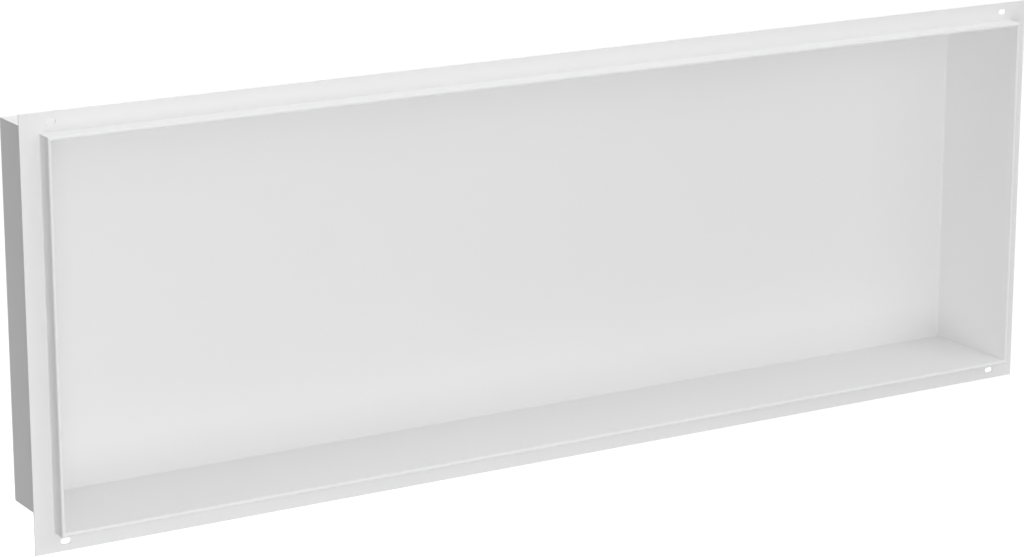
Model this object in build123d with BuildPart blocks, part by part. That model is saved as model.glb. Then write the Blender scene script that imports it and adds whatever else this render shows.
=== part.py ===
from build123d import *
import os

# Shower niche insert: a white sheet-metal tub that makes a storage recess in a tiled wall.
# One sheet is bent up into the tub, folded back on its outside to a hemmed lip round the mouth,
# and turned out into the flange that the tiles cover. The mitred corners are welded.
# The frame is the wall's: X to the right, Y into the wall, Z up. The origin is the middle of the
# opening, in the plane of the flange's back face, which lies on the wall board.

# Clear inside of the niche, and how far the tub reaches behind the wall board
opening_width = 900.0
opening_height = 300.0
depth_behind_board = 81.5

# Sheet, and the radii that its finished side is bent to
sheet = 1.0
back_bend_radius = 1.5
flange_bend_radius = 1.0

# Lip, which stands in front of the flange by the thickness of a tile and its adhesive
lip_height = 15.0
hem_gap = 1.2

# Flange, from the lip's outer face to its own edge
flange_width = 16.0

# Fixing slots, on the middle line of the top and bottom flange strips
slot_length = 8.0
slot_width = 4.5
slot_to_flange_end = 25.0

# Sizes that follow from these
right = opening_width / 2
top = opening_height / 2
lip_thickness = 2 * sheet + hem_gap
fold_radius = lip_thickness / 2
back_inside = depth_behind_board - sheet
fold_start = fold_radius - lip_height - sheet
wall_run = back_inside - back_bend_radius - fold_start
leg_run = lip_height - fold_radius - flange_bend_radius
flange_run = flange_width - flange_bend_radius
slot_spacing_x = 2 * (right + lip_thickness + flange_width - slot_to_flange_end)
slot_spacing_z = 2 * (top + lip_thickness + flange_width / 2)

with BuildPart() as niche_body:
    # Section of the sheet through the middle of the floor, from the back panel to the flange's edge.
    # The line follows the finished side, bend by bend, and the sheet lies to its left.
    with BuildSketch(Plane.YZ) as section:
        with BuildLine():
            back_bend = JernArc((back_inside, back_bend_radius - top), (0, -1), back_bend_radius, -90)
            wall = PolarLine(back_bend @ 1, wall_run, direction=back_bend % 1)
            fold = JernArc(wall @ 1, wall % 1, fold_radius, 180)
            leg = PolarLine(fold @ 1, leg_run, direction=fold % 1)
            flange_bend = JernArc(leg @ 1, leg % 1, flange_bend_radius, -90)
            PolarLine(flange_bend @ 1, flange_run, direction=flange_bend % 1)
            offset(amount=sheet, side=Side.LEFT)
        make_face()

    # The section runs once round the opening, with a mitre at each corner
    with BuildLine(Plane.XZ) as round_opening:
        Polyline((0, -top), (right, -top), (right, top), (-right, top), (-right, -top), (0, -top))
    sweep(sections=section.sketch, path=round_opening.wire(), transition=Transition.RIGHT)

    # Back panel, between its bends
    with BuildSketch(Plane.XZ.offset(-depth_behind_board)):
        Rectangle(opening_width - 2 * back_bend_radius, opening_height - 2 * back_bend_radius)
    extrude(amount=sheet)

    # Fixing slots, cut from the flange's back face to its front
    with BuildSketch(Plane.XZ):
        with GridLocations(slot_spacing_x, slot_spacing_z, 2, 2):
            SlotOverall(slot_length, slot_width)
    extrude(amount=sheet, mode=Mode.SUBTRACT)

niche_body.part.label = "niche_body"

os.makedirs("parts", exist_ok=True)
export_step(niche_body.part, "parts/niche_body.step")
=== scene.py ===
from math import cos, radians, sin, sqrt

import bmesh
import bpy
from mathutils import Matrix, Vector


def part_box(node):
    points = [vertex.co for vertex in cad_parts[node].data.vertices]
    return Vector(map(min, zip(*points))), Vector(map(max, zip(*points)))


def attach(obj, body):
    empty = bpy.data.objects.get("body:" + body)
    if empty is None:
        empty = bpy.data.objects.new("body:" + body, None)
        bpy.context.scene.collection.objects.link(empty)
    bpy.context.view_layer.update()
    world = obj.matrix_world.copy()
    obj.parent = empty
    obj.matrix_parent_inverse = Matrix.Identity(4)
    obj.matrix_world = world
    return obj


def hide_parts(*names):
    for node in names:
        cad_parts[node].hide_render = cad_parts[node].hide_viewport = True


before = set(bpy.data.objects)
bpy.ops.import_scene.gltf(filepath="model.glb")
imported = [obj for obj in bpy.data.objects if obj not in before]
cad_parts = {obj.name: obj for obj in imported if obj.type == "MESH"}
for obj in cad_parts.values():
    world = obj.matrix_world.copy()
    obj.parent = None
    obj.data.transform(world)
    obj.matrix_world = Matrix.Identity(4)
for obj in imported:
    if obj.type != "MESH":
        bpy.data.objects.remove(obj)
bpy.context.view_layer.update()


# Folded sheet: the whole niche, one piece of 1 mm sheet steel. It is bent up into a shallow tub, folded
# back on its outside to a hemmed lip round the mouth, and turned out into the flange that the tiles cover.
# The corners are mitred and welded. The tub sits in a hole in the wall board, held by screws in four slots.
sheet = 0.001
hem_gap = 0.0012
flange_width = 0.016
back_bend_radius = 0.0015
flange_bend_radius = 0.001
edge_rounding = 0.0002
degrees_per_facet = 11.25

low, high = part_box("niche_body")
lip_thickness = 2 * sheet + hem_gap
fold_radius = lip_thickness / 2
flange_reach = lip_thickness + flange_width
opening_width = 2 * (high.x - flange_reach)
opening_height = 2 * (high.z - flange_reach)


# Points of one bend of the section, from a start angle through a turn, both in degrees
def bend(centre, radius, start, turn):
    facets = round(abs(turn) / degrees_per_facet)
    angles = [radians(start + turn * i / facets) for i in range(facets + 1)]
    return [(centre[0] + radius * cos(a), centre[1] + radius * sin(a), 0.0) for a in angles]


# Section of the sheet: first how far out from the opening, then how deep in the wall. It goes along the
# finished side from the back panel to the flange's edge, and returns along the hidden side.
back_corner = (-back_bend_radius, high.y - sheet - back_bend_radius)
fold = (fold_radius, low.y + fold_radius)
turn_out = (lip_thickness + flange_bend_radius, -sheet - flange_bend_radius)
front_edge = (flange_reach - edge_rounding, edge_rounding - sheet)
rear_edge = (flange_reach - edge_rounding, -edge_rounding)
section = (
    bend(back_corner, back_bend_radius, 90, -90)
    + bend(fold, fold_radius, 180, 180)
    + bend(turn_out, flange_bend_radius, 180, -90)
    + bend(front_edge, edge_rounding, -90, 90)
    + bend(rear_edge, edge_rounding, 0, 90)
    + bend(turn_out, flange_bend_radius + sheet, 90, 90)
    + bend(fold, fold_radius - sheet, 0, -180)
    + bend(back_corner, back_bend_radius + sheet, 0, 90)
)
section_line = bpy.data.meshes.new("sheet_section")
section_line.from_pydata(section, [(i, i + 1) for i in range(len(section) - 1)], [])
tub = bpy.data.objects.new("folded_sheet_tub", section_line)
bpy.context.scene.collection.objects.link(tub)


# Adds a node, gives it its settings, and links or sets its inputs
def add_node(tree, kind, settings=None, links=None):
    node = tree.nodes.new(kind)
    for name, value in (settings or {}).items():
        setattr(node, name, value)
    for socket, value in (links or {}).items():
        if isinstance(value, bpy.types.NodeSocket):
            tree.links.new(value, node.inputs[socket])
        else:
            node.inputs[socket].default_value = value
    return node.outputs


# An sRGB hex colour as linear red, green, blue and alpha
def linear(hex_colour):
    channels = [int(hex_colour[i:i + 2], 16) / 255 for i in (1, 3, 5)]
    return [c / 12.92 if c <= 0.04045 else ((c + 0.055) / 1.055) ** 2.4 for c in channels] + [1.0]


# White polyester powder coat, baked on: satin, nearly neutral, with the faint orange peel of a coat that
# flowed as it cured, in waves 2.5 mm across and 0.02 mm high. How white it came out drifts over 150 mm,
# and how smooth over 40 mm.
cloud_width = 0.15
duller_white = "#F3F3F3"
brighter_white = "#F6F6F6"
flow_width = 0.04
smoothest = 0.44
roughest = 0.54
peel_width = 0.0025
peel_height = 0.00002
peel_strength = 0.3
broad_detail = 2.0
peel_detail = 1.0
polyester_ior = 1.5

coat = bpy.data.materials.new("white_polyester_powder_coat")
coat.use_nodes = True
tree = coat.node_tree
tree.nodes.clear()
at = add_node(tree, "ShaderNodeTexCoord")["Object"]
cloud = add_node(tree, "ShaderNodeTexNoise",
                 links={"Vector": at, "Scale": 1 / cloud_width, "Detail": broad_detail})
flow = add_node(tree, "ShaderNodeTexNoise",
                links={"Vector": at, "Scale": 1 / flow_width, "Detail": broad_detail})
peel = add_node(tree, "ShaderNodeTexNoise",
                links={"Vector": at, "Scale": 1 / peel_width, "Detail": peel_detail})

# A Mix node's colour sockets share their names with its other sockets, so they are taken by number
mix_first = 6
mix_second = 7
mix_result = 2
white = add_node(tree, "ShaderNodeMix", {"data_type": "RGBA"}, {
    "Factor": cloud["Fac"], mix_first: linear(duller_white), mix_second: linear(brighter_white)})
roughness = add_node(tree, "ShaderNodeMapRange",
                     links={"Value": flow["Fac"], "To Min": smoothest, "To Max": roughest})
relief = add_node(tree, "ShaderNodeBump",
                  links={"Height": peel["Fac"], "Strength": peel_strength, "Distance": peel_height})
skin = add_node(tree, "ShaderNodeBsdfPrincipled", links={
    "Base Color": white[mix_result],
    "Roughness": roughness["Result"],
    "IOR": polyester_ior,
    "Normal": relief["Normal"],
})
add_node(tree, "ShaderNodeOutputMaterial", links={"Surface": skin["BSDF"]})

# The section is run round the opening with a mitre at each corner, the back is closed, and four slots
# are punched through the flange, on the middle line of its top and bottom strips.
slot_length = 0.008
slot_width = 0.0045
slot_to_flange_end = 0.025
sizes = {
    "Opening width": opening_width,
    "Opening height": opening_height,
    "Back bend radius": back_bend_radius,
    "Back depth": high.y,
    "Sheet thickness": sheet,
    "Slot length": slot_length,
    "Slot width": slot_width,
    "Slot spacing across": 2 * (high.x - slot_to_flange_end),
    "Slot spacing up": 2 * (high.z - flange_width / 2),
}
tree = bpy.data.node_groups.new("section_run_round_the_opening", "GeometryNodeTree")
tree.interface.new_socket("Section", in_out="INPUT", socket_type="NodeSocketGeometry")
inputs = {n: tree.interface.new_socket(n, in_out="INPUT", socket_type="NodeSocketFloat") for n in sizes}
tree.interface.new_socket("Sheet", in_out="OUTPUT", socket_type="NodeSocketGeometry")
given = add_node(tree, "NodeGroupInput")

mouth = add_node(tree, "GeometryNodeCurvePrimitiveQuadrilateral",
                 links={"Width": given["Opening width"], "Height": given["Opening height"]})
profile = add_node(tree, "GeometryNodeMeshToCurve", links={"Mesh": given["Section"]})
swept = add_node(tree, "GeometryNodeCurveToMesh",
                 links={"Curve": mouth["Curve"], "Profile Curve": profile["Curve"]})

# A section in a mitre's plane is longer by the root of two, measured out from the opening's corner
opening = add_node(tree, "ShaderNodeCombineXYZ",
                   links={"X": given["Opening width"], "Y": given["Opening height"]})
corner = add_node(tree, "ShaderNodeVectorMath", {"operation": "SCALE"}, {0: opening[0], "Scale": 0.5})
spot = add_node(tree, "GeometryNodeInputPosition")["Position"]
away = add_node(tree, "ShaderNodeVectorMath", {"operation": "ABSOLUTE"}, {0: spot})
beyond = add_node(tree, "ShaderNodeVectorMath", {"operation": "SUBTRACT"}, {0: away[0], 1: corner[0]})
mitred = add_node(tree, "ShaderNodeVectorMath", {"operation": "MULTIPLY_ADD"},
                  {0: beyond[0], 1: (sqrt(2), sqrt(2), 1.0), 2: corner[0]})
quadrant = add_node(tree, "ShaderNodeVectorMath", {"operation": "SIGN"}, {0: spot})
placed = add_node(tree, "ShaderNodeVectorMath", {"operation": "MULTIPLY"},
                  {0: mitred[0], 1: quadrant[0]})
walls = add_node(tree, "GeometryNodeSetPosition",
                 links={"Geometry": swept["Mesh"], "Position": placed[0]})

# Both faces of the back panel meet the section's two ends
same_point = 0.000002
taken = add_node(tree, "ShaderNodeMath", {"operation": "MULTIPLY"},
                 {0: given["Back bend radius"], 1: 2.0})
back_width = add_node(tree, "ShaderNodeMath", {"operation": "SUBTRACT"},
                      {0: given["Opening width"], 1: taken[0]})
back_height = add_node(tree, "ShaderNodeMath", {"operation": "SUBTRACT"},
                       {0: given["Opening height"], 1: taken[0]})
panel = add_node(tree, "GeometryNodeMeshGrid", links={
    "Size X": back_width[0], "Size Y": back_height[0], "Vertices X": 2, "Vertices Y": 2})
panel_rear = add_node(tree, "GeometryNodeFlipFaces", links={"Mesh": panel["Mesh"]})
rear = add_node(tree, "ShaderNodeMath", {"operation": "MULTIPLY"}, {0: given["Back depth"], 1: -1.0})
face = add_node(tree, "ShaderNodeMath", {"operation": "ADD"}, {0: rear[0], 1: given["Sheet thickness"]})
joined = add_node(tree, "GeometryNodeJoinGeometry", links={"Geometry": walls["Geometry"]})["Geometry"]
for side, depth in ((panel["Mesh"], face[0]), (panel_rear["Mesh"], rear[0])):
    shift = add_node(tree, "ShaderNodeCombineXYZ", links={"Z": depth})
    moved = add_node(tree, "GeometryNodeTransform", links={"Geometry": side, "Translation": shift[0]})
    tree.links.new(moved["Geometry"], joined.node.inputs["Geometry"])
closed = add_node(tree, "GeometryNodeMergeByDistance",
                  links={"Geometry": joined, "Distance": same_point})

# Punched slots: the rims that the punch leaves are the ones that the coat rounds over
punch_reach = 0.003
slot_end_facets = 10
outline = add_node(tree, "GeometryNodeCurvePrimitiveQuadrilateral",
                   links={"Width": given["Slot length"], "Height": given["Slot width"]})
end_radius = add_node(tree, "ShaderNodeMath", {"operation": "MULTIPLY"},
                      {0: given["Slot width"], 1: 0.5})
rounded = add_node(tree, "GeometryNodeFilletCurve", {"mode": "POLY"}, {
    "Curve": outline["Curve"], "Count": slot_end_facets, "Radius": end_radius[0], "Limit Radius": True})
stroke = add_node(tree, "GeometryNodeCurvePrimitiveLine",
                  links={"Start": (0.0, 0.0, -punch_reach), "End": (0.0, 0.0, punch_reach)})
punch = add_node(tree, "GeometryNodeCurveToMesh", links={
    "Curve": stroke["Curve"], "Profile Curve": rounded["Curve"], "Fill Caps": True})
centres = add_node(tree, "GeometryNodeMeshGrid", links={
    "Size X": given["Slot spacing across"],
    "Size Y": given["Slot spacing up"],
    "Vertices X": 2,
    "Vertices Y": 2,
})
punches = add_node(tree, "GeometryNodeInstanceOnPoints",
                   links={"Points": centres["Mesh"], "Instance": punch["Mesh"]})
loose = add_node(tree, "GeometryNodeRealizeInstances", links={"Geometry": punches["Instances"]})
tools = add_node(tree, "GeometryNodeMergeByDistance",
                 links={"Geometry": loose["Geometry"], "Distance": same_point})
slotted = add_node(tree, "GeometryNodeMeshBoolean", {"operation": "DIFFERENCE", "solver": "EXACT"},
                   {0: closed["Geometry"], 1: tools["Geometry"]})
rims = add_node(tree, "GeometryNodeStoreNamedAttribute", {"data_type": "FLOAT", "domain": "EDGE"}, {
    "Geometry": slotted["Mesh"], "Name": "bevel_weight_edge", "Value": slotted["Intersecting Edges"]})

# Bends shade round and the welded mitres stay crisp. The middle of a mitre's edge is as far out from the
# opening across as it is up.
smooth = add_node(tree, "GeometryNodeSetShadeSmooth", {"domain": "FACE"},
                  {"Geometry": rims["Geometry"]})
out = add_node(tree, "ShaderNodeSeparateXYZ", links={"Vector": beyond[0]})
mitre = add_node(tree, "ShaderNodeMath", {"operation": "COMPARE"},
                 {0: out["X"], 1: out["Y"], 2: same_point})
crisp = add_node(tree, "GeometryNodeSetShadeSmooth", {"domain": "EDGE"},
                 {"Geometry": smooth["Geometry"], "Selection": mitre[0], "Shade Smooth": False})
upright = add_node(tree, "GeometryNodeTransform", links={
    "Geometry": crisp["Geometry"], "Rotation": (radians(90), 0.0, 0.0)})
real = add_node(tree, "GeometryNodeRealizeInstances", links={"Geometry": upright["Geometry"]})
coated = add_node(tree, "GeometryNodeSetMaterial",
                  links={"Geometry": real["Geometry"], "Material": coat})
add_node(tree, "NodeGroupOutput", links={"Sheet": coated["Geometry"]})

run = tub.modifiers.new("section_run_round_the_opening", "NODES")
run.node_group = tree
for name, value in sizes.items():
    run[inputs[name].identifier] = value
rim_facets = 3
ease = tub.modifiers.new("rims_rounded_by_the_coat", "BEVEL")
ease.limit_method = "WEIGHT"
ease.width = edge_rounding
ease.segments = rim_facets
flat = tub.modifiers.new("flat_faces_shade_flat", "WEIGHTED_NORMAL")
flat.keep_sharp = True
evaluated = tub.evaluated_get(bpy.context.evaluated_depsgraph_get())
folded = bpy.data.meshes.new_from_object(evaluated)
tub.modifiers.clear()
tub.data = folded
folded.name = "folded_sheet_tub"
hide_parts("niche_body")
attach(tub, "root")


# Studio floor: matt white paper, far below the niche, which hangs at chest height as if fixed to its
# wall. The camera sees it as white, and it throws light back up at the niche as a pale floor does.
floor_level = -1.2
floor_half_width = 20.0
paper_white = "#DCDCDC"
floor_glow = 0.8
glow_white = "#FFFFFF"

floor_mesh = bpy.data.meshes.new("studio_floor")
paper_roll = bmesh.new()
bmesh.ops.create_grid(paper_roll, x_segments=1, y_segments=1, size=floor_half_width)
bmesh.ops.translate(paper_roll, verts=paper_roll.verts, vec=(0.0, 0.0, floor_level))
paper_roll.to_mesh(floor_mesh)
paper_roll.free()
floor = bpy.data.objects.new("studio_floor", floor_mesh)
bpy.context.scene.collection.objects.link(floor)


# 1 for what the camera sees, straight, mirrored or through glass, and 0 for what only gives light
def seen_by_camera(tree):
    ray = add_node(tree, "ShaderNodeLightPath")
    seen = ray["Is Camera Ray"]
    for other in ("Is Glossy Ray", "Is Transmission Ray"):
        seen = add_node(tree, "ShaderNodeMath", {"operation": "MAXIMUM"}, {0: seen, 1: ray[other]})[0]
    return seen


paper = bpy.data.materials.new("matt_white_paper")
paper.use_nodes = True
tree = paper.node_tree
tree.nodes.clear()
fibres = add_node(tree, "ShaderNodeBsdfDiffuse", links={"Color": linear(paper_white)})
lift = add_node(tree, "ShaderNodeMath", {"operation": "MULTIPLY"},
                {0: seen_by_camera(tree), 1: floor_glow})
glow = add_node(tree, "ShaderNodeEmission", links={"Color": linear(glow_white), "Strength": lift[0]})
both = add_node(tree, "ShaderNodeAddShader", links={0: fibres["BSDF"], 1: glow["Emission"]})
add_node(tree, "ShaderNodeOutputMaterial", links={"Surface": both["Shader"]})
floor_mesh.materials.append(paper)


# Studio light: a white room whose walls glow softly in three broad patches, and large soft boxes
# overhead, in front and behind, aimed at the niche, so that no side goes dark. The camera and
# reflections see plain white.
room = bpy.data.worlds.new("studio_room")
bpy.context.scene.world = room
room.use_nodes = True
tree = room.node_tree
tree.nodes.clear()

# Each patch: its direction from the niche and its strength
glowing_patches = {
    "high_on_the_right": ((0.7, -0.7, 1.0), 0.62),
    "front_left": ((-1.0, -1.0, 0.15), 0.66),
    "behind_on_the_right": ((0.6, 1.0, 0.0), 0.5),
}
patch_softness = 3.0
plain_white = 1.0
way = add_node(tree, "ShaderNodeTexCoord")["Generated"]
room_glow = 0.0
for direction, strength in glowing_patches.values():
    facing = add_node(tree, "ShaderNodeVectorMath", {"operation": "DOT_PRODUCT"},
                      {0: way, 1: Vector(direction).normalized()})
    ahead = add_node(tree, "ShaderNodeMath", {"operation": "MAXIMUM"}, {0: facing["Value"], 1: 0.0})
    patch = add_node(tree, "ShaderNodeMath", {"operation": "POWER"}, {0: ahead[0], 1: patch_softness})
    room_glow = add_node(tree, "ShaderNodeMath", {"operation": "MULTIPLY_ADD"},
                         {0: patch[0], 1: strength, 2: room_glow})[0]
level = add_node(tree, "ShaderNodeMapRange",
                 links={"Value": seen_by_camera(tree), "To Min": room_glow, "To Max": plain_white})
air = add_node(tree, "ShaderNodeBackground",
               links={"Color": linear(glow_white), "Strength": level["Result"]})
add_node(tree, "ShaderNodeOutputWorld", links={"Surface": air["Background"]})

# Each soft box: its place, its width and its watts
soft_boxes = {
    "overhead": ((0.0, 0.0, 3.0), 2.5, 42.6),
    "front": ((0.0, -3.3, 0.7), 2.0, 10.0),
    "front_left_low": ((-0.9, -1.8, -0.3), 1.0, 9.9),
    "front_right": ((1.65, -2.45, 1.1), 1.8, 10.5),
    "behind": ((0.9, 3.0, 0.15), 2.0, 25.0),
}
for name, (place, width, watts) in soft_boxes.items():
    box_light = bpy.data.lights.new(name, "AREA")
    box_light.shape = "SQUARE"
    box_light.size = width
    box_light.energy = watts
    lamp = bpy.data.objects.new(name, box_light)
    lamp.location = place
    lamp.rotation_euler = (-Vector(place)).to_track_quat("-Z", "Y").to_euler()
    lamp.visible_camera = False
    bpy.context.scene.collection.objects.link(lamp)


# Camera: stands to the left of the niche and a little above it, with a long lens, as in the photograph.
# Its place, its aim and its lens were worked out together from the niche's straight edges there.
picture_width = 1024
focal_pixels = 3249.76
sensor_width = 36.0
camera_place = (-1.3552, -2.1600, 0.6516)
tilt_down = 14.699
turn_right = 31.126

camera_data = bpy.data.cameras.new("camera")
camera_data.sensor_width = sensor_width
camera_data.lens = focal_pixels * sensor_width / picture_width
camera = bpy.data.objects.new("camera", camera_data)
camera.location = camera_place
camera.rotation_euler = (radians(90 - tilt_down), 0.0, radians(-turn_right))
bpy.context.scene.collection.objects.link(camera)
bpy.context.scene.camera = camera
bpy.context.scene.view_settings.view_transform = "Standard"
